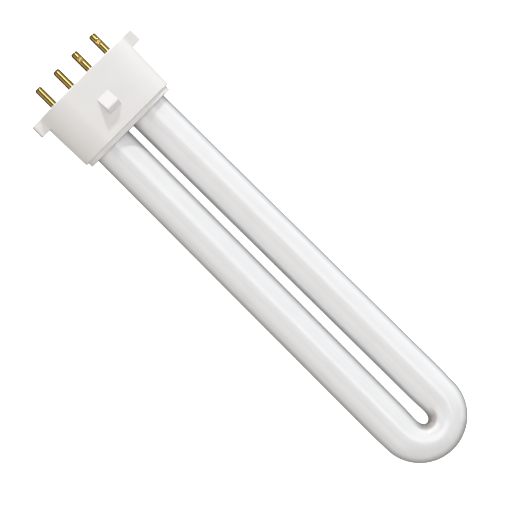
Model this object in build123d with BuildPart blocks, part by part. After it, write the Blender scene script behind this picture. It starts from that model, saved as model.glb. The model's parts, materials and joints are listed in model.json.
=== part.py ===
from build123d import *
import os
from math import atan, atan2, cos, degrees, radians, sin, tan

# A plug-in lamp: a U of glass tube in a moulded cap with four pins, lying on its catch and its bend.
# Sizes in millimetres. A station is a distance along the lamp's axis from the pin face of the cap.

# Glass tube
tube_diameter = 12.7
limb_length = 120.3
limb_gap_at_cap = 2.0
limb_gap_at_bend = 3.05
neck_length = 11.1
neck_squeeze = 0.15
neck_steps = 3
bend_rise = 8.5
bend_squeeze = 1.6
bend_flattening = 0.2
bend_steps = 6

# Pinch seals at the ends of the tube, and the sealed exhaust tip at one of them
pinch_thickness = 3.0
pinch_length = 3.0
shoulder_length = 2.4
seal_depth = 2.0
exhaust_diameter = 2.6
exhaust_length = 2.0
exhaust_round = 0.8

# Moulded cap
cap_height = 19.2
cap_draft = 1.5
housing_wall = 1.4
floor_thickness = 2.0
face_round = 0.4
rim_round = 0.3
tab_length = 4.2
tab_reach = 2.9
tab_thickness = 4.6
tab_round = 0.5

# Wedge-shaped catch on each broad side of the cap
catch_start = 7.9
catch_ramp = 4.0
catch_land = 0.4
catch_back = 1.5
catch_width = 4.3
catch_height = 2.7

# Holder plate that closes the cap, and the cement in its sockets
lip_thickness = 1.45
lip_inset = 0.85
lip_round = 0.25
spigot_length = 6.0
spigot_clearance = 0.1
socket_wall = 0.7
socket_end_wall = 1.55
cement_thickness = 0.3
cement_recess = 0.5

# Contact pins, with the bosses that carry them
pin_count = 4
pin_pitch = 7.5
pin_diameter = 2.35
pin_length = 7.0
pin_tip_round = 0.65
shank_diameter = 2.7
shank_clearance = 0.05
flange_diameter = 4.0
flange_thickness = 0.8
boss_diameter = 4.6
boss_height = 2.0
crimp_station = -4.2
crimp_length = 1.9
crimp_width = 1.3
crimp_depth = 0.35

# Lead wires
lead_diameter = 0.6
lead_clearance = 0.1
lead_pitch = 4.6
lead_straight = 0.5
lead_bend = 0.8

# Sizes that follow from those above
tube_radius = tube_diameter / 2
neck_thickness = tube_diameter - neck_squeeze
bend_thickness = tube_diameter - bend_squeeze
bend_height = tube_diameter - bend_flattening
limb_spacing = tube_diameter + limb_gap_at_cap
bend_spacing = neck_thickness + limb_gap_at_bend
socket_radius = tube_radius + cement_thickness
spigot_depth = 2 * (socket_radius + socket_wall)
spigot_width = limb_spacing + 2 * (socket_radius + socket_end_wall)
cavity_depth = spigot_depth + 2 * spigot_clearance
cavity_width = spigot_width + 2 * spigot_clearance
rim_depth = cavity_depth + 2 * housing_wall
rim_width = cavity_width + 2 * housing_wall
draft_slope = tan(radians(cap_draft))
face_depth = rim_depth + 2 * cap_height * draft_slope
face_width = rim_width + 2 * cap_height * draft_slope
cap_total = cap_height + lip_thickness
bend_station = cap_total + limb_length
neck_station = bend_station - neck_length
limb_lean = atan2((bend_spacing - limb_spacing) / 2, limb_length)
bend_overturn = atan(tan(limb_lean) * bend_rise / (bend_spacing / 2))
bend_turn = radians(90) + bend_overturn
bend_reach = bend_spacing / 2 / cos(bend_overturn)
bend_centre = bend_station + bend_rise * sin(bend_overturn)
apex_station = bend_centre + bend_rise
lamp_end = apex_station + bend_thickness / 2
shoulder_station = cap_height - spigot_length
pinch_station = shoulder_station - shoulder_length
pinch_end = pinch_station - pinch_length
pin_radius = pin_diameter / 2
pin_seat = floor_thickness + boss_height
pin_back = pin_seat + flange_thickness
bore_diameter = lead_diameter + 2 * lead_clearance
crimp_arc = ((crimp_length / 2) ** 2 + crimp_depth**2) / (2 * crimp_depth)
pin_offsets = [(index - (pin_count - 1) / 2) * pin_pitch for index in range(pin_count)]
limb_sides = (-1, 1)


def face_at(station):
    """Half the cap's depth at a station, on its drafted broad side."""
    return rim_depth / 2 + (cap_height - station) * draft_slope


def limb_offset(side, station):
    """How far to the side a limb's middle is, at a station."""
    return side * (limb_spacing / 2 + (station - cap_total) * tan(limb_lean))


# The lamp lies on the land of its lower catch and on the underside of the bend, so it tips a little
catch_top = catch_start + catch_ramp
catch_edge = catch_top + catch_land
catch_foot = catch_edge + catch_back
catch_drop = face_at(catch_edge) + catch_height
rest_tilt = atan2(catch_drop - bend_height / 2, apex_station - catch_edge)
axis_height = catch_edge * sin(rest_tilt) + catch_drop * cos(rest_tilt)
axis_middle = (lamp_end - pin_length) / 2

lamp = Plane(
    origin=(-axis_middle * cos(rest_tilt), 0, axis_height),
    x_dir=(cos(rest_tilt), 0, -sin(rest_tilt)),
    z_dir=(sin(rest_tilt), 0, cos(rest_tilt)),
)
lamp_axis = Axis(lamp.origin, lamp.x_dir)


def across(station, offset=0):
    """A plane square to the lamp's axis: x to the side, y up."""
    return Plane(origin=lamp.from_local_coords((station, offset, 0)), x_dir=(0, 1, 0), z_dir=lamp.x_dir)


def along(offset=0):
    """An upright plane through the lamp's axis, or beside it: x from the pins to the bend, y up."""
    return Plane(origin=lamp.from_local_coords((0, offset, 0)), x_dir=lamp.x_dir, z_dir=(0, -1, 0))


def tube_plane(station, offset, heading):
    """A plane square to the tube where its middle passes a point with a heading: x up."""
    direction = lamp.x_dir * cos(heading) + lamp.y_dir * sin(heading)
    return Plane(origin=lamp.from_local_coords((station, offset, 0)), x_dir=lamp.z_dir, z_dir=direction)


def limb_plane(side, station):
    """A plane square to a limb, which leans a fraction of a degree off the other: x up, y to the side."""
    return tube_plane(station, limb_offset(side, station), side * limb_lean)


def limb_run(start, end):
    """The length of a limb between two stations."""
    return (end - start) / cos(limb_lean)


def neck(step):
    """Station and thickness of the tube on its way from a limb into the bend."""
    share = step / neck_steps
    ease = share * share * (3 - 2 * share)
    return neck_station + neck_length * share, tube_diameter - neck_squeeze * ease


os.makedirs("parts", exist_ok=True)

# Glass tube: a bend that thins on its way round, two limbs, and flat pinch seals
with BuildPart() as glass_tube:
    with BuildLine(lamp):
        Line((neck_station, limb_offset(-1, neck_station)), (bend_station, -bend_spacing / 2))
        EllipticalCenterArc(
            (bend_centre, 0),
            bend_rise,
            bend_reach,
            start_angle=-degrees(bend_turn),
            arc_size=2 * degrees(bend_turn),
        )
        Line((bend_station, bend_spacing / 2), (neck_station, limb_offset(1, neck_station)))
    for step in range(neck_steps):
        station, thickness = neck(step)
        with BuildSketch(tube_plane(station, limb_offset(-1, station), -limb_lean)):
            Ellipse(tube_radius, thickness / 2)
    for step in range(bend_steps + 1):
        turn = bend_turn * (2 * step / bend_steps - 1)
        heading = atan2(bend_reach * cos(turn), -bend_rise * sin(turn))
        thickness = neck_thickness - (neck_thickness - bend_thickness) * cos(turn) ** 2
        height = tube_diameter - bend_flattening * cos(turn) ** 2
        with BuildSketch(tube_plane(bend_centre + bend_rise * cos(turn), bend_reach * sin(turn), heading)):
            Ellipse(height / 2, thickness / 2)
    for step in reversed(range(neck_steps)):
        station, thickness = neck(step)
        with BuildSketch(tube_plane(station, limb_offset(1, station), radians(180) + limb_lean)):
            Ellipse(tube_radius, thickness / 2)
    sweep(multisection=True)
    for side in limb_sides:
        with BuildSketch(limb_plane(side, neck_station)):
            Circle(tube_radius)
        extrude(amount=-limb_run(pinch_end, neck_station))
    with BuildSketch(along()):
        with BuildLine():
            Polyline(
                (pinch_end - pinch_length, pinch_thickness / 2),
                (pinch_station, pinch_thickness / 2),
                (shoulder_station, tube_radius),
                (shoulder_station, tube_diameter),
                (pinch_end - pinch_length, tube_diameter),
                close=True,
            )
        make_face()
        mirror(about=Plane.XZ)
    extrude(amount=cavity_width, both=True, mode=Mode.SUBTRACT)
    for side in limb_sides:
        with BuildSketch(limb_plane(side, pinch_end)):
            with GridLocations(0, lead_pitch, 1, 2):
                Circle(bore_diameter / 2)
        extrude(amount=seal_depth, mode=Mode.SUBTRACT)
    with BuildSketch(limb_plane(1, pinch_end)):
        Circle(exhaust_diameter / 2)
    extrude(amount=-exhaust_length)
    fillet(glass_tube.edges().group_by(lamp_axis)[0], exhaust_round)
glass_tube.part.label = "glass_tube"
export_step(glass_tube.part, "parts/glass_tube.step")

# Cap: a drafted cup with key tabs at its narrow ends, catches on its broad sides and bosses for the pins
with BuildPart() as base_housing:
    with BuildSketch(across(0)):
        SlotOverall(face_width, face_depth)
    extrude(amount=cap_height, taper=cap_draft)
    fillet(base_housing.edges().group_by(lamp_axis)[0], face_round)
    fillet(base_housing.edges().group_by(lamp_axis)[-1], rim_round)
    tab_root = cavity_width / 2 + housing_wall / 2
    tab_tip = face_width / 2 + tab_reach
    with BuildSketch(across(0)):
        with GridLocations(tab_root + tab_tip, 0, 2, 1):
            Rectangle(tab_tip - tab_root, tab_thickness)
    extrude(amount=tab_length)
    fillet(base_housing.edges().group_by(Axis.Y)[0], tab_round)
    fillet(base_housing.edges().group_by(Axis.Y)[-1], tab_round)
    with BuildSketch(along()):
        with BuildLine():
            Polyline(
                (catch_start, cavity_depth / 2 + housing_wall / 2),
                (catch_start, face_at(catch_start)),
                (catch_top, face_at(catch_edge) + catch_height),
                (catch_edge, face_at(catch_edge) + catch_height),
                (catch_foot, face_at(catch_foot)),
                (catch_foot, cavity_depth / 2 + housing_wall / 2),
                close=True,
            )
        make_face()
        mirror(about=Plane.XZ)
    extrude(amount=catch_width / 2, both=True)
    with BuildSketch(across(floor_thickness)):
        SlotOverall(cavity_width, cavity_depth)
    extrude(amount=cap_height - floor_thickness, mode=Mode.SUBTRACT)
    with BuildSketch(across(floor_thickness)):
        with GridLocations(pin_pitch, 0, pin_count, 1):
            Circle(boss_diameter / 2)
    extrude(amount=boss_height)
    with BuildSketch(across(0)):
        with GridLocations(pin_pitch, 0, pin_count, 1):
            Circle(shank_diameter / 2 + shank_clearance)
    extrude(amount=pin_seat, mode=Mode.SUBTRACT)
base_housing.part.label = "base_housing"
export_step(base_housing.part, "parts/base_housing.step")

# Holder: a plate with the lip that shows beside the tubes, and a spigot with a socket for each limb
with BuildPart() as tube_holder:
    with BuildSketch(across(cap_height)):
        SlotOverall(rim_width - 2 * lip_inset, rim_depth - 2 * lip_inset)
    extrude(amount=lip_thickness)
    fillet(tube_holder.edges().group_by(lamp_axis)[-1], lip_round)
    with BuildSketch(across(cap_height)):
        SlotOverall(spigot_width, spigot_depth)
    extrude(amount=-spigot_length)
    for side in limb_sides:
        with BuildSketch(limb_plane(side, cap_height)):
            Circle(socket_radius)
        extrude(amount=spigot_length + lip_thickness, both=True, mode=Mode.SUBTRACT)
tube_holder.part.label = "tube_holder"
export_step(tube_holder.part, "parts/tube_holder.step")

# Cement: a ring around each limb in its socket, a little below the face of the lip
for number, side in enumerate(limb_sides, start=1):
    with BuildPart() as tube_cement:
        with BuildSketch(limb_plane(side, shoulder_station)):
            Circle(socket_radius)
            Circle(tube_radius, mode=Mode.SUBTRACT)
        extrude(amount=limb_run(shoulder_station, cap_total - cement_recess))
    tube_cement.part.label = f"tube_cement_{number}"
    export_step(tube_cement.part, f"parts/{tube_cement.part.label}.step")

# Contact pins: hollow, with a round tip, a shank in the cap's floor, a flange on the boss and a crimp dent
for number, offset in enumerate(pin_offsets, start=1):
    crimp_side = 1 if offset > 0 else -1
    with BuildPart() as contact_pin:
        with BuildSketch(across(-pin_length, offset)):
            Circle(pin_radius)
        extrude(amount=pin_length)
        with BuildSketch(across(0, offset)):
            Circle(shank_diameter / 2)
        extrude(amount=pin_seat)
        with BuildSketch(across(pin_seat, offset)):
            Circle(flange_diameter / 2)
        extrude(amount=flange_thickness)
        fillet(contact_pin.edges().group_by(lamp_axis)[0], pin_tip_round)
        with BuildSketch(across(-pin_length, offset)):
            Circle(bore_diameter / 2)
        extrude(amount=pin_length + pin_back, mode=Mode.SUBTRACT)
        with BuildSketch(along(offset)):
            with Locations((crimp_station, crimp_side * (pin_radius - crimp_depth + crimp_arc))):
                Circle(crimp_arc)
        extrude(amount=crimp_width / 2, both=True, mode=Mode.SUBTRACT)
    contact_pin.part.label = f"contact_pin_{number}"
    export_step(contact_pin.part, f"parts/{contact_pin.part.label}.step")

# Lead wires: two from each pinch seal, each into the bore of the pin beside it
lead_starts = [
    limb_offset(side, pinch_end) + lead_side * lead_pitch / 2 for side in limb_sides for lead_side in (-1, 1)
]
for number, (start, offset) in enumerate(zip(lead_starts, pin_offsets), start=1):
    with BuildPart() as lead_wire:
        with BuildLine(lamp) as route:
            FilletPolyline(
                (pinch_end + seal_depth - lead_clearance, start),
                (pinch_end - lead_straight, start),
                (pin_back + lead_straight, offset),
                (crimp_station - crimp_length / 2, offset),
                radius=lead_bend,
            )
        with BuildSketch(Plane(origin=route.line @ 0, z_dir=route.line % 0)):
            Circle(lead_diameter / 2)
        sweep()
    lead_wire.part.label = f"lead_wire_{number}"
    export_step(lead_wire.part, f"parts/{lead_wire.part.label}.step")
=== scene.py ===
# %% [markdown]
# # A plug-in lamp: white glass, a moulded cap and four brass pins
# The solids of this lamp come from the drawing, packed as a frame of named pieces. This lesson gives them
# their looks. Some pieces keep their solid and only get a finish. Two are grown again with Geometry
# Nodes, because they follow a rule: the glass tube follows a path, and the pins are one pin repeated.

import json
import math

import bpy
from mathutils import Matrix, Quaternion, Vector


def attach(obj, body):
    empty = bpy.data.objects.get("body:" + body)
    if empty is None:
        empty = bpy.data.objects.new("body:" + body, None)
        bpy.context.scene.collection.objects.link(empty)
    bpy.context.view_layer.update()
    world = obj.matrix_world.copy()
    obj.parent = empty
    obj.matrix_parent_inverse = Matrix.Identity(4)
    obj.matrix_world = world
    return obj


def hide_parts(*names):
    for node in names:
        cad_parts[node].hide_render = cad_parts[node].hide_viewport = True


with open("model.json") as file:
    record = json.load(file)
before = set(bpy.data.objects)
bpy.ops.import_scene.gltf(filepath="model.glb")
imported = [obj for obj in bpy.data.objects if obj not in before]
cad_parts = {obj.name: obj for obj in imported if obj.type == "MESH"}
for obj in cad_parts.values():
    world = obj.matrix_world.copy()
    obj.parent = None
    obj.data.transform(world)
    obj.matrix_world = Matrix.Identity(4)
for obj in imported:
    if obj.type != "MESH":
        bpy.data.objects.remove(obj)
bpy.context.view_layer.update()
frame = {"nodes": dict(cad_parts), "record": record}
print("pieces in the frame:", sorted(frame["nodes"]))

# %% [markdown]
# ## Where the lamp lies
# The lamp rests on the catch under its cap and on its bend, so its axis dips a little. The record states
# a mount at the middle of the pin face, and its direction is the axis. With these two we have the lamp's
# own frame: along the lamp from the pins to the bend, across both limbs, and up. Pieces are made in that
# frame, in metres, and then laid down.

# %% The lamp's own frame
MM = 0.001
seat = next(mount for mount in frame["record"]["mounts"] if mount["name"] == "cap_seat")
pin_face = Vector(seat["pos_m"])
lamp_axis = -Vector(seat["axis"]).normalized()
lamp_side = Vector((0, 1, 0))
lamp_up = lamp_axis.cross(lamp_side)
lamp_frame = Matrix((lamp_axis, lamp_side, lamp_up)).transposed().to_4x4()
lamp_frame.translation = pin_face
print("axis dips", round(math.degrees(math.asin(-lamp_axis.z)), 2), "degrees towards the bend")

# %% [markdown]
# ## Helpers for finishes
# One function adds a node to any tree, with its settings and its links, so that a tree reads from top to
# bottom like a recipe. Colours are written as they look on a screen, and one function turns them to
# linear light. The scale of a pattern is worked out from the real size of its grains or marks.


# %% Nodes, colours and scales
def node(tree, kind, inputs=None, **settings):
    """Adds a node, sets it, links or fills its inputs, and gives back its first output in use."""
    made = tree.nodes.new(kind)
    for name, value in settings.items():
        setattr(made, name, value)
    for name, value in (inputs or {}).items():
        if isinstance(value, bpy.types.NodeSocket):
            tree.links.new(value, made.inputs[name])
        else:
            made.inputs[name].default_value = value
    return next((output for output in made.outputs if output.enabled), made)


def linear(hex_colour):
    """An sRGB hex colour as linear RGBA."""
    channels = [int(hex_colour[i : i + 2], 16) / 255 for i in (1, 3, 5)]
    return [c / 12.92 if c <= 0.04045 else ((c + 0.055) / 1.055) ** 2.4 for c in channels] + [1.0]


def per_metre(size_mm):
    """The scale of a pattern whose grains or marks are this many millimetres wide."""
    return 1 / (size_mm * MM)


def new_material(name):
    """A material with a tree that holds only its shader and its output."""
    material = bpy.data.materials.new(name)
    material.use_nodes = True
    tree = material.node_tree
    return material, tree, tree.nodes["Principled BSDF"]


print("white paper is", [round(c, 3) for c in linear("#F4F4F4")[:3]], "in linear light")

# %% [markdown]
# ## Finish: coated glass
# The tube is soda-lime glass, coated inside with white powder. The eye gets two things at once: a soft,
# even white from the powder, and a sharp reflection from the smooth glass above it, doubled by the inner
# face of the wall. So the shader is a white base with a mirror-smooth gloss and a second clear coat. The
# powder was rinsed down the tube and dried, which leaves faint clouds and streaks along it. Inside the
# bend, round the end of the gap, a grey patch is painted into the colour: painted shade, where the glass
# mirrors the dark gap. At the rim the colour is painted dark too: painted shade, for the dark surroundings
# seen along the clear wall. A Layer Weight node tells how far the glass is turned away.


# %% Coated glass
def coated_glass():
    """White powder under clear glass, with painted shade inside the bend and at the rim."""
    material, tree, shader = new_material("phosphor coated soda-lime glass")
    place = node(tree, "ShaderNodeTexCoord").node.outputs["Object"]
    cloud_mm, streak_mm, streak_squash = 7, 1.6, 0.12
    drawn = node(tree, "ShaderNodeMapping", {"Vector": place, "Scale": (streak_squash, 1, 1)})
    clouds = node(
        tree, "ShaderNodeTexNoise", {"Vector": place, "Scale": per_metre(cloud_mm), "Detail": 3.0}
    )
    streaks = node(
        tree, "ShaderNodeTexNoise", {"Vector": drawn, "Scale": per_metre(streak_mm), "Detail": 2.0}
    )
    both = node(tree, "ShaderNodeMath", {0: clouds, 1: streaks}, operation="ADD")
    share = node(tree, "ShaderNodeMapRange", {"Value": both, "From Min": 0.7, "From Max": 1.3})
    rinsed = {"Factor": share, "A": linear("#E6E7E9"), "B": linear("#EAEBED")}
    white = node(tree, "ShaderNodeMix", rinsed, data_type="RGBA")
    # painted shade: a grey patch inside the bend, read from the mark that the tube's tree leaves
    bend_shade = node(tree, "ShaderNodeAttribute", attribute_name="painted bend shade").node.outputs["Fac"]
    bend_shade_mix = {"Factor": bend_shade, "A": white, "B": linear("#B8B3B0")}
    powder_and_bend_shade = node(tree, "ShaderNodeMix", bend_shade_mix, data_type="RGBA")
    # painted shade: the rim turns dark in the colour, for the dark surroundings seen along the wall
    rim_start, rim_depth = 0.345, 0.85
    turned_away = node(tree, "ShaderNodeLayerWeight", {"Blend": 0.5}).node.outputs["Facing"]
    rim_shade = node(
        tree, "ShaderNodeMapRange", {"Value": turned_away, "From Min": rim_start, "To Max": rim_depth}
    )
    painted_dark_rim = {"Factor": rim_shade, "A": powder_and_bend_shade, "B": linear("#101211")}
    colour = node(tree, "ShaderNodeMix", painted_dark_rim, data_type="RGBA")
    tree.links.new(colour, shader.inputs["Base Color"])
    shader.inputs["Roughness"].default_value = 0.04
    shader.inputs["IOR"].default_value = 1.52
    shader.inputs["Coat Weight"].default_value = 0.45
    shader.inputs["Coat Roughness"].default_value = 0.02
    shader.inputs["Coat IOR"].default_value = 1.5
    return material


glass_finish = coated_glass()
print("made", glass_finish.name)

# %% [markdown]
# ## Helpers for growing a piece
# A tree of Geometry Nodes is a rule that turns a plain guide mesh into a piece. One function makes an
# empty tree with named inputs for its sizes. One ends a tree: what was repeated is made real and gets its
# finish. One grows the piece: it sets the inputs by their identifiers, reads the result as a plain mesh,
# and lays it in the lamp's frame.


# %% Trees and grown pieces
def growing_tree(name, sizes):
    """A tree that takes a mesh, named sizes and a finish, and the outputs of its input node by name."""
    tree = bpy.data.node_groups.new(name, "GeometryNodeTree")
    tree.interface.new_socket("Mesh", in_out="INPUT", socket_type="NodeSocketGeometry")
    for size, value in sizes.items():
        kind = "NodeSocketInt" if isinstance(value, int) else "NodeSocketFloat"
        tree.interface.new_socket(size, in_out="INPUT", socket_type=kind)
    tree.interface.new_socket("Finish", in_out="INPUT", socket_type="NodeSocketMaterial")
    tree.interface.new_socket("Mesh", in_out="OUTPUT", socket_type="NodeSocketGeometry")
    given = node(tree, "NodeGroupInput").node
    return tree, given.outputs


def end_tree(tree, size, shaped):
    """Makes copies real, gives the mesh its finish and hands it out."""
    whole = node(tree, "GeometryNodeRealizeInstances", {"Geometry": shaped})
    painted = node(tree, "GeometryNodeSetMaterial", {"Geometry": whole, "Material": size["Finish"]})
    node(tree, "NodeGroupOutput", {"Mesh": painted})


def add_to_scene(name, data):
    """An object that holds the data, linked to the scene."""
    made = bpy.data.objects.new(name, data)
    bpy.context.scene.collection.objects.link(made)
    return made


def grow(name, tree, guide, sizes, finish):
    """A plain mesh object, grown by the tree from a guide mesh and laid in the lamp's frame."""
    guide_object = add_to_scene(name + "_guide", guide)
    modifier = guide_object.modifiers.new("grow", "NODES")
    modifier.node_group = tree
    values = {**sizes, "Finish": finish}
    for item in tree.interface.items_tree:
        if item.in_out == "INPUT" and item.name in values:
            modifier[item.identifier] = values[item.name]
    grown = guide_object.evaluated_get(bpy.context.evaluated_depsgraph_get())
    mesh = bpy.data.meshes.new_from_object(grown)
    guide_object.modifiers.remove(modifier)
    bpy.data.objects.remove(guide_object)
    mesh.transform(lamp_frame)
    piece = add_to_scene(name, mesh)
    print(name, "has", len(mesh.polygons), "faces")
    return piece


# %% [markdown]
# ## The glass tube
# The real tube is one length of glass tubing, softened in the middle and bent to a U. The bend stretches
# and thins it, and leaves a slight neck just before it. The ends are pinched flat to seal the wires in,
# out of sight in the cap, and one keeps the drop of glass where the tube was pumped empty. A Curve object
# with a bevel could make the tube, but not the neck and the thinning. Here a guide line follows the
# middle of the glass, and the nodes sweep a round section along it and shape it on the way.

# %% Sizes of the glass tube, in millimetres
tube_diameter = 12.7
cap_total = 20.65
limb_length = 120.3
limb_gap_at_cap = 2.0
limb_gap_at_bend = 3.6
neck_length = 6.0
neck_squeeze = 0.35
bend_rise = 8.5
bend_squeeze = 1.6
bend_flattening = 0.2
pinch_end, pinch_station, shoulder_station = 7.8, 10.8, 13.2
pinch_thickness = 3.0
exhaust_diameter, exhaust_length = 2.6, 2.0

limb_spacing = tube_diameter + limb_gap_at_cap
bend_spacing = tube_diameter - neck_squeeze + limb_gap_at_bend
bend_station = cap_total + limb_length
limb_slope = (bend_spacing - limb_spacing) / 2 / limb_length
bend_overturn = math.atan(limb_slope * bend_rise / (bend_spacing / 2))
bend_reach = bend_spacing / 2 / math.cos(bend_overturn)
bend_centre = bend_station + bend_rise * math.sin(bend_overturn)
bend_apex = bend_centre + bend_rise
print("the limbs are", limb_spacing, "mm apart at the cap and", bend_spacing, "mm at the bend")

# %% [markdown]
# The guide line runs straight along one limb, round half an ellipse, and back along the other limb. The
# ellipse is turned a little past its half, because the limbs spread towards the bend and have to meet it
# without a kink.


# %% The guide line along the middle of the glass
def limb_offset(station):
    """How far a limb's middle is from the lamp's axis, in millimetres."""
    return limb_spacing / 2 + (station - cap_total) * limb_slope


def tube_guide():
    """A line from the pinch of one limb, round the bend, to the pinch of the other."""
    turn_end = math.pi / 2 + bend_overturn
    turn_steps = 48
    turns = [turn_end * (2 * step / turn_steps - 1) for step in range(turn_steps + 1)]
    points = [(pinch_end, -limb_offset(pinch_end))]
    points += [(bend_centre + bend_rise * math.cos(turn), bend_reach * math.sin(turn)) for turn in turns]
    points += [(pinch_end, limb_offset(pinch_end))]
    mesh = bpy.data.meshes.new("tube_guide")
    edges = [(i, i + 1) for i in range(len(points) - 1)]
    mesh.from_pydata([(x * MM, y * MM, 0) for x, y in points], edges, [])
    return mesh


print("guide line has", len(tube_guide().vertices), "points")

# %% [markdown]
# Round the end of the gap, the tree marks the mesh with an attribute, which the finish reads to paint
# shade there. All sizes go into the tree as named inputs, in metres, so that the same tree can grow a
# tube of other sizes too.

# %% Named inputs of the tube
ring_spacing, tube_facets = 0.6, 96
# where the painted shade inside the bend lies and how it fades
bend_shade_reach, bend_shade_fade, bend_shade_onset = 3.85, 0.7, 1.2
gap_end = bend_apex - (tube_diameter - bend_squeeze) / 2
bend_shade_centre = gap_end - limb_gap_at_bend / 2

tube_sizes = {
    "Ring Spacing": ring_spacing * MM,
    "Facets": tube_facets,
    "Tube Diameter": tube_diameter * MM,
    "Neck Station": (bend_station - neck_length) * MM,
    "Bend Station": bend_station * MM,
    "Neck Squeeze": neck_squeeze * MM,
    "Bend Centre": bend_centre * MM,
    "Bend Apex": bend_apex * MM,
    "Bend Squeeze": (bend_squeeze - neck_squeeze) * MM,
    "Bend Flattening": bend_flattening * MM,
    "Pinch Station": pinch_station * MM,
    "Shoulder Station": shoulder_station * MM,
    "Pinch Thickness": pinch_thickness * MM,
    "Exhaust Radius": exhaust_diameter / 2 * MM,
    "Exhaust Length": exhaust_length * MM,
    "Exhaust Station": pinch_end * MM,
    "Exhaust Offset": limb_offset(pinch_end) * MM,
    "Bend Shade Centre": bend_shade_centre * MM,
    "Bend Shade Start": (bend_shade_centre - bend_shade_onset) * MM,
    "Bend Shade Full": (bend_shade_centre + bend_shade_onset) * MM,
    "Bend Shade Reach": bend_shade_reach * MM,
    "Bend Shade Fade": bend_shade_fade * MM,
}
print("the tube's tree has", len(tube_sizes), "named sizes")

# %% [markdown]
# The sweep puts a ring of points every half millimetre or so. How far along the neck and round the bend a
# ring lies gives its width and its height: the bend is much thinner across, and hardly flatter. A swept
# section can only be scaled as a whole, so the sweep takes the width, and the share of height to width
# goes along as an attribute for the next step.


# %% Sweep the section
def sweep_tube(tree, size):
    """The tube with its neck and its bend, but round all the way."""
    line = node(tree, "GeometryNodeMeshToCurve", {"Mesh": size["Mesh"]})
    spaced = {"Curve": line, "Length": size["Ring Spacing"]}
    rings = node(tree, "GeometryNodeResampleCurve", spaced, mode="LENGTH")
    station = node(tree, "ShaderNodeSeparateXYZ", {"Vector": node(tree, "GeometryNodeInputPosition")})
    neck = {"Value": station, "From Min": size["Neck Station"], "From Max": size["Bend Station"]}
    in_neck = node(tree, "ShaderNodeMapRange", neck, interpolation_type="SMOOTHSTEP")
    bend = {"Value": station, "From Min": size["Bend Centre"], "From Max": size["Bend Apex"]}
    round_bend = node(tree, "ShaderNodeMapRange", bend)
    bent = node(tree, "ShaderNodeMath", {0: round_bend, 1: 2.0}, operation="POWER")
    necked = node(tree, "ShaderNodeMath", {0: in_neck, 1: size["Neck Squeeze"]}, operation="MULTIPLY")
    squeezes = {0: bent, 1: size["Bend Squeeze"], 2: necked}
    squeeze = node(tree, "ShaderNodeMath", squeezes, operation="MULTIPLY_ADD")
    flattening = node(tree, "ShaderNodeMath", {0: bent, 1: size["Bend Flattening"]}, operation="MULTIPLY")
    width = node(tree, "ShaderNodeMath", {0: size["Tube Diameter"], 1: squeeze}, operation="SUBTRACT")
    height = node(tree, "ShaderNodeMath", {0: size["Tube Diameter"], 1: flattening}, operation="SUBTRACT")
    tallness = node(tree, "ShaderNodeMath", {0: height, 1: width}, operation="DIVIDE")
    shape_mark = {"Geometry": rings, "Name": "tallness", "Value": tallness}
    marked = node(tree, "GeometryNodeStoreNamedAttribute", shape_mark)
    section = node(tree, "GeometryNodeCurvePrimitiveCircle", {"Resolution": size["Facets"], "Radius": 0.5})
    sweep = {"Curve": marked, "Profile Curve": section, "Scale": width, "Fill Caps": True}
    return node(tree, "GeometryNodeCurveToMesh", sweep)


tube_tree, tube_input = growing_tree("swept glass tube", tube_sizes)
swept_tube = sweep_tube(tube_tree, tube_input)
print("the sweep takes", len(tube_tree.nodes), "nodes")

# %% [markdown]
# The next step stretches each ring to its height. Then it presses the ends flat, as the pinching jaws do:
# no point may stand higher or lower than the room between the jaws, which opens from the pinch to the
# shoulder.


# %% Stretch the rings and pinch the ends
def pinch_ends(tree, size, swept):
    """The tube at its true height, with both ends pressed flat."""
    position = node(tree, "GeometryNodeInputPosition")
    point = node(tree, "ShaderNodeSeparateXYZ", {"Vector": position}).node.outputs
    tallness = node(tree, "GeometryNodeInputNamedAttribute", {"Name": "tallness"})
    stretched = node(tree, "ShaderNodeMath", {0: point["Z"], 1: tallness}, operation="MULTIPLY")
    jaws = {
        "Value": point["X"],
        "From Min": size["Pinch Station"],
        "From Max": size["Shoulder Station"],
        "To Min": size["Pinch Thickness"],
        "To Max": size["Tube Diameter"],
    }
    opening = node(tree, "ShaderNodeMapRange", jaws)
    upper_jaw = node(tree, "ShaderNodeMath", {0: opening, 1: 0.5}, operation="MULTIPLY")
    lower_jaw = node(tree, "ShaderNodeMath", {0: opening, 1: -0.5}, operation="MULTIPLY")
    lowered = node(tree, "ShaderNodeMath", {0: stretched, 1: upper_jaw}, operation="MINIMUM")
    pressed = node(tree, "ShaderNodeMath", {0: lowered, 1: lower_jaw}, operation="MAXIMUM")
    place = node(tree, "ShaderNodeCombineXYZ", {"X": point["X"], "Y": point["Y"], "Z": pressed})
    return node(tree, "GeometryNodeSetPosition", {"Geometry": swept, "Position": place})


pinched_tube = pinch_ends(tube_tree, tube_input, swept_tube)
print("with the pinch it takes", len(tube_tree.nodes), "nodes")

# %% [markdown]
# Two small things are left: the drop of glass at one end, a ball stretched along the tube, and the mark
# of the painted shade, which reaches round the end of the gap and stops where the bend goes over to the
# limbs.


# %% Exhaust tip and painted bend shade
def add_exhaust_tip(tree, size, tube):
    """The tube with the drop of glass at one end."""
    drop = node(tree, "GeometryNodeMeshUVSphere", {"Segments": 24, "Rings": 16, "Radius": 1.0})
    tip_at = {"X": size["Exhaust Station"], "Y": size["Exhaust Offset"]}
    tip_place = node(tree, "ShaderNodeCombineXYZ", tip_at)
    tip_reach = {"X": size["Exhaust Length"], "Y": size["Exhaust Radius"], "Z": size["Exhaust Radius"]}
    tip_size = node(tree, "ShaderNodeCombineXYZ", tip_reach)
    drawn_out = {"Geometry": drop, "Translation": tip_place, "Scale": tip_size}
    tip = node(tree, "GeometryNodeTransform", drawn_out)
    joined = node(tree, "GeometryNodeJoinGeometry", {"Geometry": tube})
    tree.links.new(tip, joined.node.inputs["Geometry"])
    return joined


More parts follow.
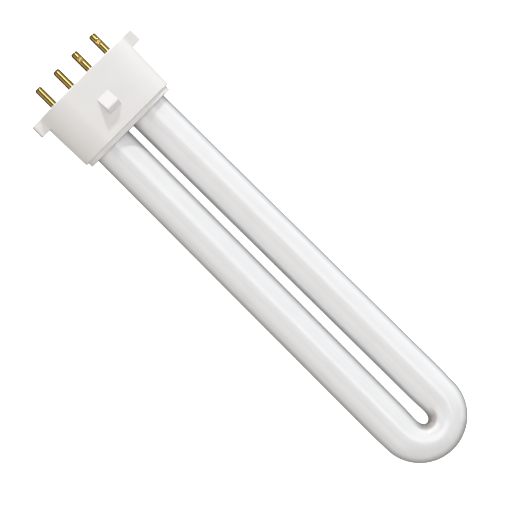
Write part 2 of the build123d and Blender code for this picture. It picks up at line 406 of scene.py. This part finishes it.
def mark_painted_bend_shade(tree, size, tube):
    """The tube with a mark that is 1 where shade is painted, round the end of the gap."""
    position = node(tree, "GeometryNodeInputPosition")
    point = node(tree, "ShaderNodeSeparateXYZ", {"Vector": position}).node.outputs
    in_plan = node(tree, "ShaderNodeCombineXYZ", {"X": point["X"], "Y": point["Y"]})
    centre = node(tree, "ShaderNodeCombineXYZ", {"X": size["Bend Shade Centre"]})
    apart = node(tree, "ShaderNodeVectorMath", {0: in_plan, 1: centre}, operation="DISTANCE")
    reach, fade = size["Bend Shade Reach"], size["Bend Shade Fade"]
    full_reach = node(tree, "ShaderNodeMath", {0: reach, 1: fade}, operation="SUBTRACT")
    near_gap = node(
        tree, "ShaderNodeMapRange", {"Value": apart, "From Min": reach, "From Max": full_reach}
    )
    bend = {"Value": point["X"], "From Min": size["Bend Shade Start"], "From Max": size["Bend Shade Full"]}
    on_bend = node(tree, "ShaderNodeMapRange", bend)
    # the mark for painted shade: near the end of the gap and on the bend
    bend_shade = node(tree, "ShaderNodeMath", {0: near_gap, 1: on_bend}, operation="MULTIPLY")
    bend_shade_mark = {"Geometry": tube, "Name": "painted bend shade", "Value": bend_shade}
    return node(tree, "GeometryNodeStoreNamedAttribute", bend_shade_mark)


tipped_tube = add_exhaust_tip(tube_tree, tube_input, pinched_tube)
shade_marked_tube = mark_painted_bend_shade(tube_tree, tube_input, tipped_tube)
print("with the tip and the mark it takes", len(tube_tree.nodes), "nodes")

# %% [markdown]
# The tree is ended, and the tube is grown as one plain mesh. It takes the place of the drawn solid, which
# is hidden, and rides with the lamp's only body.

# %% Grow the tube and put it in its place
smooth_tube = node(tube_tree, "GeometryNodeSetShadeSmooth", {"Geometry": shade_marked_tube})
end_tree(tube_tree, tube_input, smooth_tube)
tube_piece = grow("glass_tube_blown", tube_tree, tube_guide(), tube_sizes, glass_finish)
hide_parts("glass_tube")
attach(tube_piece, "root")
print("tube box", [tuple(round(v, 4) for v in corner) for corner in tube_piece.bound_box][::6])

# %% [markdown]
# ## Finish: moulded plastic
# The cap and its holder are injection-moulded, in a white engineering plastic that stands heat. A
# fine-eroded mould leaves a satin skin: no mirror, a broad soft sheen, and a grain of a few hundredths of
# a millimetre that only shows as a slight unevenness. It is drawn coarser here, so that it shows at all.
# The flow of the melt leaves faint clouds. The solids of both pieces are true already, so they only get
# this finish.


# %% Moulded plastic
def moulded_plastic(name, light, shade):
    """Satin white plastic with faint clouds between two shades."""
    material, tree, shader = new_material(name)
    place = node(tree, "ShaderNodeTexCoord").node.outputs["Object"]
    flow_mm, grain_mm = 9, 0.35
    flow = node(tree, "ShaderNodeTexNoise", {"Vector": place, "Scale": per_metre(flow_mm), "Detail": 2.0})
    grain = node(tree, "ShaderNodeTexNoise", {"Vector": place, "Scale": per_metre(grain_mm), "Detail": 2.0})
    share = node(tree, "ShaderNodeMapRange", {"Value": flow, "From Min": 0.35, "From Max": 0.65})
    melt = {"Factor": share, "A": linear(shade), "B": linear(light)}
    white = node(tree, "ShaderNodeMix", melt, data_type="RGBA")
    satin = {"Value": grain, "From Min": 0.3, "From Max": 0.7, "To Min": 0.3, "To Max": 0.38}
    sheen = node(tree, "ShaderNodeMapRange", satin)
    skin = node(tree, "ShaderNodeBump", {"Height": grain, "Strength": 0.12, "Distance": 0.02 * MM})
    tree.links.new(white, shader.inputs["Base Color"])
    tree.links.new(sheen, shader.inputs["Roughness"])
    tree.links.new(skin, shader.inputs["Normal"])
    shader.inputs["IOR"].default_value = 1.5
    return material


def dress(piece, finish):
    """Gives a drawn solid its finish."""
    piece.data.materials.clear()
    piece.data.materials.append(finish)
    print(piece.name, "is", finish.name)


cap_finish = moulded_plastic("satin moulded polyester cap", "#E5E4E3", "#E3E2E1")
holder_finish = moulded_plastic("satin moulded polyester holder", "#E5E4E3", "#E2E1DF")
dress(frame["nodes"]["base_housing"], cap_finish)
dress(frame["nodes"]["tube_holder"], holder_finish)

# %% [markdown]
# ## Finish: polished brass
# The pins are drawn from brass strip and rolled bright, then crimped on the wires. Polished brass mirrors
# the room in its own yellow, so it shows bright and dark bands along each pin. A thin film of tarnish
# makes it deeper than new brass, and keeps it yellow at a slant too. Handling leaves fine lines round it,
# drawn coarser here so that they show. The tip is painted a darker brown that fades along the pin: painted
# shade, for the dark that the round tips mirror. The crimp tool leaves a rough, coppery dent. The nodes
# that grow the pins mark the dent and the tip, and the finish reads them.


# %% Polished brass
def brass_colour(tree, place, dent, tip, bite):
    """Tarnished brass, with painted shade at the tip and scraped in the dent."""
    tarnish_mm = 1.2
    tarnish = node(
        tree, "ShaderNodeTexNoise", {"Vector": place, "Scale": per_metre(tarnish_mm), "Detail": 3.0}
    )
    filmed = {"Factor": tarnish, "A": linear("#7A6534"), "B": linear("#A18C55")}
    metal = node(tree, "ShaderNodeMix", filmed, data_type="RGBA")
    # painted shade: the tip is darkened towards its end
    tip_painted_shade = {"Factor": tip, "A": metal, "B": linear("#4E3A1C")}
    tip_shaded = node(tree, "ShaderNodeMix", tip_painted_shade, data_type="RGBA")
    bite_share = node(tree, "ShaderNodeMapRange", {"Value": bite, "From Min": 0.38, "From Max": 0.62})
    scraped = {"Factor": bite_share, "A": linear("#4A3A1C"), "B": linear("#C0A05C")}
    bitten = node(tree, "ShaderNodeMix", scraped, data_type="RGBA")
    return node(tree, "ShaderNodeMix", {"Factor": dent, "A": tip_shaded, "B": bitten}, data_type="RGBA")


def polished_brass():
    """Bright brass with fine lines round it and a rough dent."""
    material, tree, shader = new_material("polished brass")
    place = node(tree, "ShaderNodeTexCoord").node.outputs["Object"]
    dent = node(tree, "ShaderNodeAttribute", attribute_name="crimp").node.outputs["Fac"]
    tip = node(tree, "ShaderNodeAttribute", attribute_name="tip").node.outputs["Fac"]
    line_mm, line_squash, bite_mm, dent_roughness = 0.12, 0.15, 0.3, 0.2
    round_pin = node(tree, "ShaderNodeMapping", {"Vector": place, "Scale": (1, line_squash, line_squash)})
    lines = node(
        tree, "ShaderNodeTexNoise", {"Vector": round_pin, "Scale": per_metre(line_mm), "Detail": 2.0}
    )
    bite = node(tree, "ShaderNodeTexNoise", {"Vector": place, "Scale": per_metre(bite_mm), "Detail": 2.0})
    polish = {"Value": lines, "From Min": 0.3, "From Max": 0.7, "To Min": 0.02, "To Max": 0.07}
    bright = node(tree, "ShaderNodeMapRange", polish)
    rough = node(tree, "ShaderNodeMath", {0: dent, 1: dent_roughness, 2: bright}, operation="MULTIPLY_ADD")
    dent_height = node(tree, "ShaderNodeMath", {0: bite, 1: dent}, operation="MULTIPLY")
    skin = node(tree, "ShaderNodeBump", {"Height": dent_height, "Strength": 1.0, "Distance": 0.12 * MM})
    tree.links.new(brass_colour(tree, place, dent, tip, bite), shader.inputs["Base Color"])
    tree.links.new(rough, shader.inputs["Roughness"])
    tree.links.new(skin, shader.inputs["Normal"])
    shader.inputs["Metallic"].default_value = 1.0
    shader.inputs["Specular Tint"].default_value = linear("#6E5C34")
    return material


pin_finish = polished_brass()
print("made", pin_finish.name)

# %% [markdown]
# ## The contact pins
# Each pin is a hollow brass bar with a round tip, a shank through the cap's floor and a flange that seats
# on its boss. A Screw modifier could turn one, and an Array modifier could repeat it, but then every
# crimp would face the same way. Here the guide is one pin's outline, from its bore out round the tip and
# back to the flange. The nodes turn it round the axis, set the pin out in a row, and press the crimps:
# from above on one half of the row and from below on the other.

# %% Sizes of the pins, in millimetres
pin_count, pin_pitch = 4, 7.5
pin_diameter, pin_length, pin_tip_round = 2.35, 7.0, 0.65
shank_diameter, flange_diameter, bore_diameter = 2.7, 4.0, 0.8
pin_seat, pin_back = 4.0, 4.8
crimp_station, crimp_length, crimp_width, crimp_depth = -4.2, 1.9, 1.3, 0.35
crimp_arc = ((crimp_length / 2) ** 2 + crimp_depth**2) / (2 * crimp_depth)
# how far along the pin the painted tip shade reaches
tip_shade_length = 0.91
print("the crimp tool is rounded to a radius of", round(crimp_arc, 2), "mm")


# %% One pin's outline: stations along the lamp and radii
def pin_guide():
    """The points of one pin's outline, in the order in which they are turned."""
    tip_steps, wall_steps = 10, 70
    radius = pin_diameter / 2
    wall_start = pin_tip_round - pin_length
    outline = [(pin_back, bore_diameter / 2), (-pin_length, bore_diameter / 2)]
    for step in range(tip_steps + 1):
        turn = math.pi / 2 * step / tip_steps
        station = wall_start - pin_tip_round * math.cos(turn)
        outline.append((station, radius - pin_tip_round + pin_tip_round * math.sin(turn)))
    outline += [(wall_start * (1 - step / wall_steps), radius) for step in range(1, wall_steps + 1)]
    outline += [(0, shank_diameter / 2), (pin_seat, shank_diameter / 2), (pin_seat, flange_diameter / 2)]
    outline += [(pin_back, flange_diameter / 2), (pin_back, bore_diameter / 2)]
    mesh = bpy.data.meshes.new("pin_guide")
    mesh.from_pydata([(x * MM, 0, r * MM) for x, r in outline], [], [])
    return mesh


pin_facets, seam_width, crease_angle = 72, 0.0005, math.radians(40)
pin_sizes = {
    "Facets": pin_facets,
    "Outline Points": len(pin_guide().vertices),
    "Seam Width": seam_width * MM,
    "Pin Count": pin_count,
    "Pin Pitch": pin_pitch * MM,
    "Row Start": -(pin_count - 1) / 2 * pin_pitch * MM,
    "Crimp Station": crimp_station * MM,
    "Crimp Half Width": crimp_width / 2 * MM,
    "Crimp Arc": crimp_arc * MM,
    "Crimp Centre": (pin_diameter / 2 - crimp_depth + crimp_arc) * MM,
    "Tip Station": -pin_length * MM,
    "Tip End": (tip_shade_length - pin_length) * MM,
    "Crease Angle": crease_angle,
}
print("one pin's outline has", pin_sizes["Outline Points"], "points")

# %% [markdown]
# A lathe turns a bar under a profile. The nodes do it the other way round: they take a flat sheet of
# points, give each row of the sheet one point of the outline, and roll the sheet round the axis. The turn
# runs backwards, so that the faces look outwards. Where the edges of the sheet meet, the seam is merged.


# %% Turn one pin
def turn_pin(tree, size):
    """One pin, turned round its axis and closed."""
    columns = node(tree, "ShaderNodeMath", {0: size["Facets"], 1: 1.0}, operation="ADD")
    grid = {"Size X": 1.0, "Size Y": 1.0, "Vertices X": columns, "Vertices Y": size["Outline Points"]}
    sheet = node(tree, "GeometryNodeMeshGrid", grid)
    position = node(tree, "GeometryNodeInputPosition")
    spot = node(tree, "ShaderNodeSeparateXYZ", {"Vector": position}).node.outputs
    turn = node(tree, "ShaderNodeMath", {0: spot["X"], 1: -math.tau}, operation="MULTIPLY")
    last_row = node(tree, "ShaderNodeMath", {0: size["Outline Points"], 1: 1.0}, operation="SUBTRACT")
    share = node(tree, "ShaderNodeMath", {0: spot["Y"], 1: 0.5}, operation="ADD")
    row = node(tree, "ShaderNodeMath", {0: share, 1: last_row}, operation="MULTIPLY")
    number = node(tree, "FunctionNodeFloatToInt", {0: row}, rounding_mode="ROUND")
    guide_point = {"Geometry": size["Mesh"], "Value": position, "Index": number}
    outline = node(tree, "GeometryNodeSampleIndex", guide_point, data_type="FLOAT_VECTOR")
    drawn = node(tree, "ShaderNodeSeparateXYZ", {"Vector": outline}).node.outputs
    sine = node(tree, "ShaderNodeMath", {0: turn}, operation="SINE")
    cosine = node(tree, "ShaderNodeMath", {0: turn}, operation="COSINE")
    to_side = node(tree, "ShaderNodeMath", {0: drawn["Z"], 1: sine}, operation="MULTIPLY")
    to_top = node(tree, "ShaderNodeMath", {0: drawn["Z"], 1: cosine}, operation="MULTIPLY")
    place = node(tree, "ShaderNodeCombineXYZ", {"X": drawn["X"], "Y": to_side, "Z": to_top})
    rolled = node(tree, "GeometryNodeSetPosition", {"Geometry": sheet, "Position": place})
    seam = {"Geometry": rolled, "Distance": size["Seam Width"]}
    return node(tree, "GeometryNodeMergeByDistance", seam)


pin_tree, pin_input = growing_tree("row of contact pins", pin_sizes)
one_pin = turn_pin(pin_tree, pin_input)
print("the turning takes", len(pin_tree.nodes), "nodes")

# %% [markdown]
# The row is a line of points with the pin's pitch between them, and a copy of the pin on each. Before it
# is copied, the pin remembers how far each of its points is beside its own axis, because the crimp tool
# needs that later. Then the copies are made real, so that they can be pressed one by one.


# %% Set out the row
def set_out_row(tree, size, pin):
    """A row of pins, each of whose points knows its place beside its own axis."""
    position = node(tree, "GeometryNodeInputPosition")
    beside = node(tree, "ShaderNodeSeparateXYZ", {"Vector": position}).node.outputs["Y"]
    axis_mark = {"Geometry": pin, "Name": "beside", "Value": beside}
    marked = node(tree, "GeometryNodeStoreNamedAttribute", axis_mark)
    row_start = node(tree, "ShaderNodeCombineXYZ", {"Y": size["Row Start"]})
    row_step = node(tree, "ShaderNodeCombineXYZ", {"Y": size["Pin Pitch"]})
    line = {"Count": size["Pin Count"], "Start Location": row_start, "Offset": row_step}
    row = node(tree, "GeometryNodeMeshLine", line)
    placed = node(tree, "GeometryNodeInstanceOnPoints", {"Points": row, "Instance": marked})
    return node(tree, "GeometryNodeRealizeInstances", {"Geometry": placed})


plain_pins = set_out_row(pin_tree, pin_input, one_pin)
print("with the row it takes", len(pin_tree.nodes), "nodes")

# %% [markdown]
# The crimp tool is a narrow, rounded blade. Every point under it that stands proud of the blade's arc is
# pushed back to the arc, and keeps a mark for the finish. The sign of a pin's place in the row turns the
# tool over, from above to below.


# %% Press the crimps
def press_crimps(tree, size, pins):
    """The row with its crimps, and a mark that is 1 in each dent."""
    position = node(tree, "GeometryNodeInputPosition")
    point = node(tree, "ShaderNodeSeparateXYZ", {"Vector": position}).node.outputs
    half = node(tree, "ShaderNodeMath", {0: point["Y"]}, operation="SIGN")
    outward = node(tree, "ShaderNodeMath", {0: point["Z"], 1: half}, operation="MULTIPLY")
    along = node(tree, "ShaderNodeMath", {0: point["X"], 1: size["Crimp Station"]}, operation="SUBTRACT")
    along_squared = node(tree, "ShaderNodeMath", {0: along, 1: 2.0}, operation="POWER")
    arc_squared = node(tree, "ShaderNodeMath", {0: size["Crimp Arc"], 1: 2.0}, operation="POWER")
    rest = node(tree, "ShaderNodeMath", {0: arc_squared, 1: along_squared}, operation="SUBTRACT")
    drop_squared = node(tree, "ShaderNodeMath", {0: rest, 1: 0.0}, operation="MAXIMUM")
    drop = node(tree, "ShaderNodeMath", {0: drop_squared}, operation="SQRT")
    blade = node(tree, "ShaderNodeMath", {0: size["Crimp Centre"], 1: drop}, operation="SUBTRACT")
    beside = node(tree, "GeometryNodeInputNamedAttribute", {"Name": "beside"})
    off_axis = node(tree, "ShaderNodeMath", {0: beside}, operation="ABSOLUTE")
    half_width = size["Crimp Half Width"]
    under_blade = node(tree, "ShaderNodeMath", {0: off_axis, 1: half_width}, operation="LESS_THAN")
    proud = node(tree, "ShaderNodeMath", {0: outward, 1: blade}, operation="GREATER_THAN")
    pressed = node(tree, "ShaderNodeMath", {0: under_blade, 1: proud}, operation="MULTIPLY")
    dent_mark = {"Geometry": pins, "Name": "crimp", "Value": pressed}
    marked = node(tree, "GeometryNodeStoreNamedAttribute", dent_mark)
    dented = node(tree, "GeometryNodeInputNamedAttribute", {"Name": "crimp"})
    dent_height = node(tree, "ShaderNodeMath", {0: blade, 1: half}, operation="MULTIPLY")
    place = node(tree, "ShaderNodeCombineXYZ", {"X": point["X"], "Y": point["Y"], "Z": dent_height})
    push = {"Geometry": marked, "Selection": dented, "Position": place}
    return node(tree, "GeometryNodeSetPosition", push)


crimped_pins = press_crimps(pin_tree, pin_input, plain_pins)
print("with the crimps it takes", len(pin_tree.nodes), "nodes")

# %% [markdown]
# Last come the mark of the tip's painted shade, which fades along the pin, and the shading: smooth over the
# round faces, and creased where two faces meet at a steep angle, as at the flange.


# %% Mark the tips, crease the edges
def mark_tips(tree, size, pins):
    """The row with a mark that is 1 at the end of each tip and fades to 0."""
    position = node(tree, "GeometryNodeInputPosition")
    station = node(tree, "ShaderNodeSeparateXYZ", {"Vector": position})
    fade = {"Value": station, "From Min": size["Tip Station"], "From Max": size["Tip End"]}
    near_tip = node(tree, "ShaderNodeMapRange", {**fade, "To Min": 1.0, "To Max": 0.0})
    tip_mark = {"Geometry": pins, "Name": "tip", "Value": near_tip}
    return node(tree, "GeometryNodeStoreNamedAttribute", tip_mark)


def crease_edges(tree, size, pins):
    """The row, shaded smooth between its steep edges."""
    angle = node(tree, "GeometryNodeInputMeshEdgeAngle")
    steep = node(tree, "ShaderNodeMath", {0: angle, 1: size["Crease Angle"]}, operation="GREATER_THAN")
    smooth = node(tree, "GeometryNodeSetShadeSmooth", {"Geometry": pins}, domain="FACE")
    creases = {"Geometry": smooth, "Selection": steep, "Shade Smooth": False}
    return node(tree, "GeometryNodeSetShadeSmooth", creases, domain="EDGE")


tipped_pins = mark_tips(pin_tree, pin_input, crimped_pins)
creased_pins = crease_edges(pin_tree, pin_input, tipped_pins)
print("with tips and edges it takes", len(pin_tree.nodes), "nodes")

# %% [markdown]
# The row is grown as one mesh that stands in for the four drawn pins, which are hidden, and rides on the
# same body.

# %% Grow the pins and put them in their place
end_tree(pin_tree, pin_input, creased_pins)
pin_piece = grow("contact_pin_row", pin_tree, pin_guide(), pin_sizes, pin_finish)
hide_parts(*[f"contact_pin_{number}" for number in range(1, pin_count + 1)])
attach(pin_piece, "root")
print("pins reach from", round(min(v.co.x for v in pin_piece.data.vertices), 5), "m")

# %% [markdown]
# ## Finish: wires and cement
# Inside the cap, drawn nickel-plated wires run from the glass to the pins, and a ring of cement holds
# each limb in its socket. The plating gives a dull grey shine, with the marks of drawing, and the cement
# is chalky and rough. Both patterns are coarser than the real ones, so that they show. Little of this is
# in sight: a line of cement round each tube. Still, each gets its own finish, for whoever opens the cap.


# %% Lead wire and cement
def lead_metal():
    """Dull grey plating with the marks of drawing."""
    material, tree, shader = new_material("nickel plated lead wire")
    place = node(tree, "ShaderNodeTexCoord").node.outputs["Object"]
    drawn_mm = 0.2
    drawn = node(tree, "ShaderNodeTexNoise", {"Vector": place, "Scale": per_metre(drawn_mm), "Detail": 2.0})
    plated = {"Factor": drawn, "A": linear("#A6A29B"), "B": linear("#C9C5BD")}
    metal = node(tree, "ShaderNodeMix", plated, data_type="RGBA")
    dull = node(tree, "ShaderNodeMapRange", {"Value": drawn, "To Min": 0.25, "To Max": 0.4})
    tree.links.new(metal, shader.inputs["Base Color"])
    tree.links.new(dull, shader.inputs["Roughness"])
    shader.inputs["Metallic"].default_value = 1.0
    return material


def basing_cement():
    """Chalky, rough cement."""
    material, tree, shader = new_material("cured basing cement")
    place = node(tree, "ShaderNodeTexCoord").node.outputs["Object"]
    grit_mm = 0.25
    grit = node(tree, "ShaderNodeTexNoise", {"Vector": place, "Scale": per_metre(grit_mm), "Detail": 4.0})
    cured = {"Factor": grit, "A": linear("#C9C5BC"), "B": linear("#DEDBD4")}
    chalk = node(tree, "ShaderNodeMix", cured, data_type="RGBA")
    crumb = node(tree, "ShaderNodeBump", {"Height": grit, "Strength": 0.4, "Distance": 0.05 * MM})
    tree.links.new(chalk, shader.inputs["Base Color"])
    tree.links.new(crumb, shader.inputs["Normal"])
    shader.inputs["Roughness"].default_value = 0.85
    return material


inner_finishes = {"lead_wire": lead_metal(), "tube_cement": basing_cement()}
for name, piece in frame["nodes"].items():
    for start, finish in inner_finishes.items():
        if name.startswith(start):
            dress(piece, finish)

# %% [markdown]
# ## The floor
# A white table that glows of itself, as a light table does, so that no hard shadow lies on it. It shows
# to the camera only: the lamp doesn't mirror it, and light from below passes it, so that the lower half
# of the room still reaches the underside of the lamp. It lies a hair under the lamp, so that no faces
# coincide.

# %% Floor
floor_size, floor_drop = 8.0, 0.02 * MM
half_floor = floor_size / 2
floor_corners = [(-1, -1), (1, -1), (1, 1), (-1, 1)]
floor_mesh = bpy.data.meshes.new("floor")
floor_points = [(x * half_floor, y * half_floor, -floor_drop) for x, y in floor_corners]
floor_mesh.from_pydata(floor_points, [], [(0, 1, 2, 3)])
floor_object = add_to_scene("floor", floor_mesh)
floor_finish, _, floor_shader = new_material("pale light table")
floor_shader.inputs["Base Color"].default_value = linear("#F4F4F4")
floor_shader.inputs["Roughness"].default_value = 0.9
floor_shader.inputs["Emission Color"].default_value = linear("#FFFFFF")
floor_shader.inputs["Emission Strength"].default_value = 0.93
floor_mesh.materials.append(floor_finish)
floor_object.visible_diffuse = False
floor_object.visible_glossy = False
floor_object.visible_shadow = False
print("floor is", floor_size, "m wide")

# %% [markdown]
# ## The light
# The room is painted patch over patch, as a lighting plan is drawn: each patch has a brightness, and
# edges that say where it starts and where it is full. White paper in full light counts as 1. An edge is
# measured up from the horizon, ahead along the lamp, to the far side, or off the middle of the panel.
#
# A near wall and a far wall face the lamp's sides, and the tubes mirror them along their flanks. Towards
# the lamp's two ends the walls have a brightness of their own, which lights the white powder but isn't
# mirrored along the tubes. Under the dim ceiling a bright panel hangs on the far side. Its edge passes
# just over the lamp, so each tube mirrors it as a crisp line along its middle. Straight below it is dim,
# which deepens the edges along the glass.

# %% The lighting plan
FLOOR_GLOW = 0.31
over_band, over_floor, over_horizon = ("up", -0.30, -0.22), ("up", 0.0, 0.08), ("up", 0.17, 0.25)
over_far_foot, over_low_wall = ("up", -0.66, -0.56), ("up", 0.25, 0.35)
at_ceiling, at_panel, in_panel = ("up", 0.737, 0.797), ("up", 0.805, 0.865), ("off", 0.433, 0.333)
past_bend, past_pins = ("ahead", 0.41, 0.51), ("ahead", -0.41, -0.51)
bend_end, pin_end = ("ahead", 0.74, 0.84), ("ahead", -0.74, -0.84)
far_side = ("side", -0.02, 0.02)
ROOM_PATCHES = [
    ("low band", 0.5, [over_band]),
    ("near wall", 1.5, [over_horizon]),
    ("near wall past the bend", 0.87, [over_horizon, past_bend]),
    ("near wall past the pins", 0.7, [over_horizon, past_pins]),
    ("near end wall past the pins", 0.56, [over_floor, pin_end]),
    ("near end wall past the bend", 0.87, [over_floor, bend_end]),
    ("dim ceiling", 0.32, [at_ceiling]),
    ("far side, below", FLOOR_GLOW, [far_side]),
    ("far low wall", 1.02, [far_side, over_far_foot]),
    ("far wall", 0.93, [far_side, over_low_wall]),
    ("far wall past the bend", 0.02, [far_side, over_low_wall, past_bend]),
    ("far wall past the pins", 0.02, [far_side, over_low_wall, past_pins]),
    ("far end wall past the pins", 1.41, [far_side, over_floor, pin_end]),
    ("far end wall past the bend", 0.53, [far_side, over_floor, bend_end]),
    ("ceiling beside the panel", 0.08, [far_side, at_panel]),
    ("bright panel", 1.9, [far_side, at_panel, in_panel]),
]
print("lighting plan:", ", ".join(name for name, brightness, edges in ROOM_PATCHES))

# %% [markdown]
# The plan is painted on the world: a node measures each direction, every edge becomes a soft step, and
# each patch is mixed over what was there before. The near side is a touch warmer than the far side.

# %% Paint the room
PANEL_AZIMUTH = math.radians(129.5)
PANEL_PAST_TOP = -0.004
to_panel = Vector((math.cos(PANEL_AZIMUTH), math.sin(PANEL_AZIMUTH), 0))
along_panel = Vector((math.sin(PANEL_AZIMUTH), -math.cos(PANEL_AZIMUTH), 0))

world = bpy.data.worlds.new("soft tent")
bpy.context.scene.world = world
world.use_nodes = True
room = world.node_tree
room.nodes.clear()
way = node(room, "ShaderNodeTexCoord").node.outputs["Generated"]
spread = node(room, "ShaderNodeSeparateXYZ", {"Vector": way}).node.outputs
towards = node(room, "ShaderNodeVectorMath", {0: way, 1: to_panel}, operation="DOT_PRODUCT")
along = node(room, "ShaderNodeVectorMath", {0: way, 1: along_panel}, operation="DOT_PRODUCT")
off = node(room, "ShaderNodeMath", {0: along}, operation="ABSOLUTE")
past_top = {0: spread["Z"], 1: PANEL_PAST_TOP, 2: towards}
side = node(room, "ShaderNodeMath", past_top, operation="MULTIPLY_ADD")
measures = {"up": spread["Z"], "ahead": spread["X"], "side": side, "off": off}
level = FLOOR_GLOW
for name, brightness, edges in ROOM_PATCHES:
    share = 1.0
    for measure, start, full in edges:
        step = {"Value": measures[measure], "From Min": start, "From Max": full}
        inside = node(room, "ShaderNodeMapRange", step)
        share = node(room, "ShaderNodeMath", {0: share, 1: inside}, operation="MULTIPLY")
    level = node(room, "ShaderNodeMix", {"Factor": share, "A": level, "B": brightness}, data_type="FLOAT")
across = node(room, "ShaderNodeMapRange", {"Value": towards, "From Min": -0.6, "From Max": 0.4})
warmth = {"Factor": across, "A": linear("#FFFBF6"), "B": linear("#FFFFFF")}
tint = node(room, "ShaderNodeMix", warmth, data_type="RGBA")
glow = node(room, "ShaderNodeBackground", {"Color": tint, "Strength": level})
node(room, "ShaderNodeOutputWorld", {"Surface": glow})
print("room painted in", len(ROOM_PATCHES), "patches")

# %% [markdown]
# A soft room alone casts no shadow with an edge. A small hard light, as from a window far off, adds the
# shadows of the cap on the tubes and of the catch on the cap.


# %% Key light
def hang(name, data, place, turn):
    """A light or a camera at its place, turned by a quaternion."""
    made = add_to_scene(name, data)
    made.location = place
    made.rotation_mode = "QUATERNION"
    made.rotation_quaternion = turn
    return made


KEY_FROM = Vector((-0.65, 0.61, 0.445)).normalized()
key_data = bpy.data.lights.new("key", "SUN")
key_data.energy = 1.35
key_data.angle = math.radians(3.5)
hang("key", key_data, KEY_FROM, KEY_FROM.to_track_quat("Z", "Y"))
print("key light from", tuple(round(v, 2) for v in KEY_FROM))

# %% [markdown]
# Bright metal only looks like metal when it has something bright to mirror, so a long strip hangs along
# the pins. Light linking keeps it to the pins: the white pieces around them would be lit too far by it.

# %% Strip light for the pins
STRIP_FROM = Vector((0.0, 0.36, 0.93)).normalized()
STRIP_AWAY, STRIP_LENGTH, STRIP_WIDTH = 0.5, 0.6, 0.14
STRIP_RADIANCE = 9.0
strip_data = bpy.data.lights.new("pin strip", "AREA")
strip_data.color = linear("#F3F6FF")[:3]
strip_data.shape = "RECTANGLE"
strip_data.size = STRIP_LENGTH
strip_data.size_y = STRIP_WIDTH
strip_data.energy = STRIP_RADIANCE * math.pi * STRIP_LENGTH * STRIP_WIDTH
strip_place = pin_face + STRIP_FROM * STRIP_AWAY
strip = hang("pin strip", strip_data, strip_place, STRIP_FROM.to_track_quat("Z", "Y"))
lit_by_strip = bpy.data.collections.new("lit by the pin strip")
lit_by_strip.objects.link(pin_piece)
strip.light_linking.receiver_collection = lit_by_strip

# %% [markdown]
# ## The camera
# The photograph was taken from almost straight above with a long lens, a few degrees off towards one
# limb, and turned so that the lamp lies from the upper left to the lower right.

# %% Camera
camera_place = Vector((10.10, -138.99, 1218.89)) * MM
camera_target = Vector((-1.08, -0.82, 10.0)) * MM
camera_roll = math.radians(39.96)
camera_data = bpy.data.cameras.new("camera")
camera_data.lens = 291.4
camera_data.sensor_width = 36
camera_data.sensor_fit = "HORIZONTAL"
looking = (camera_target - camera_place).to_track_quat("-Z", "Y")
rolled = looking @ Quaternion((0, 0, 1), camera_roll)
bpy.context.scene.camera = hang("camera", camera_data, camera_place, rolled)
bpy.context.scene.view_settings.view_transform = "Standard"
print("camera is", round((camera_place - camera_target).length, 3), "m away")
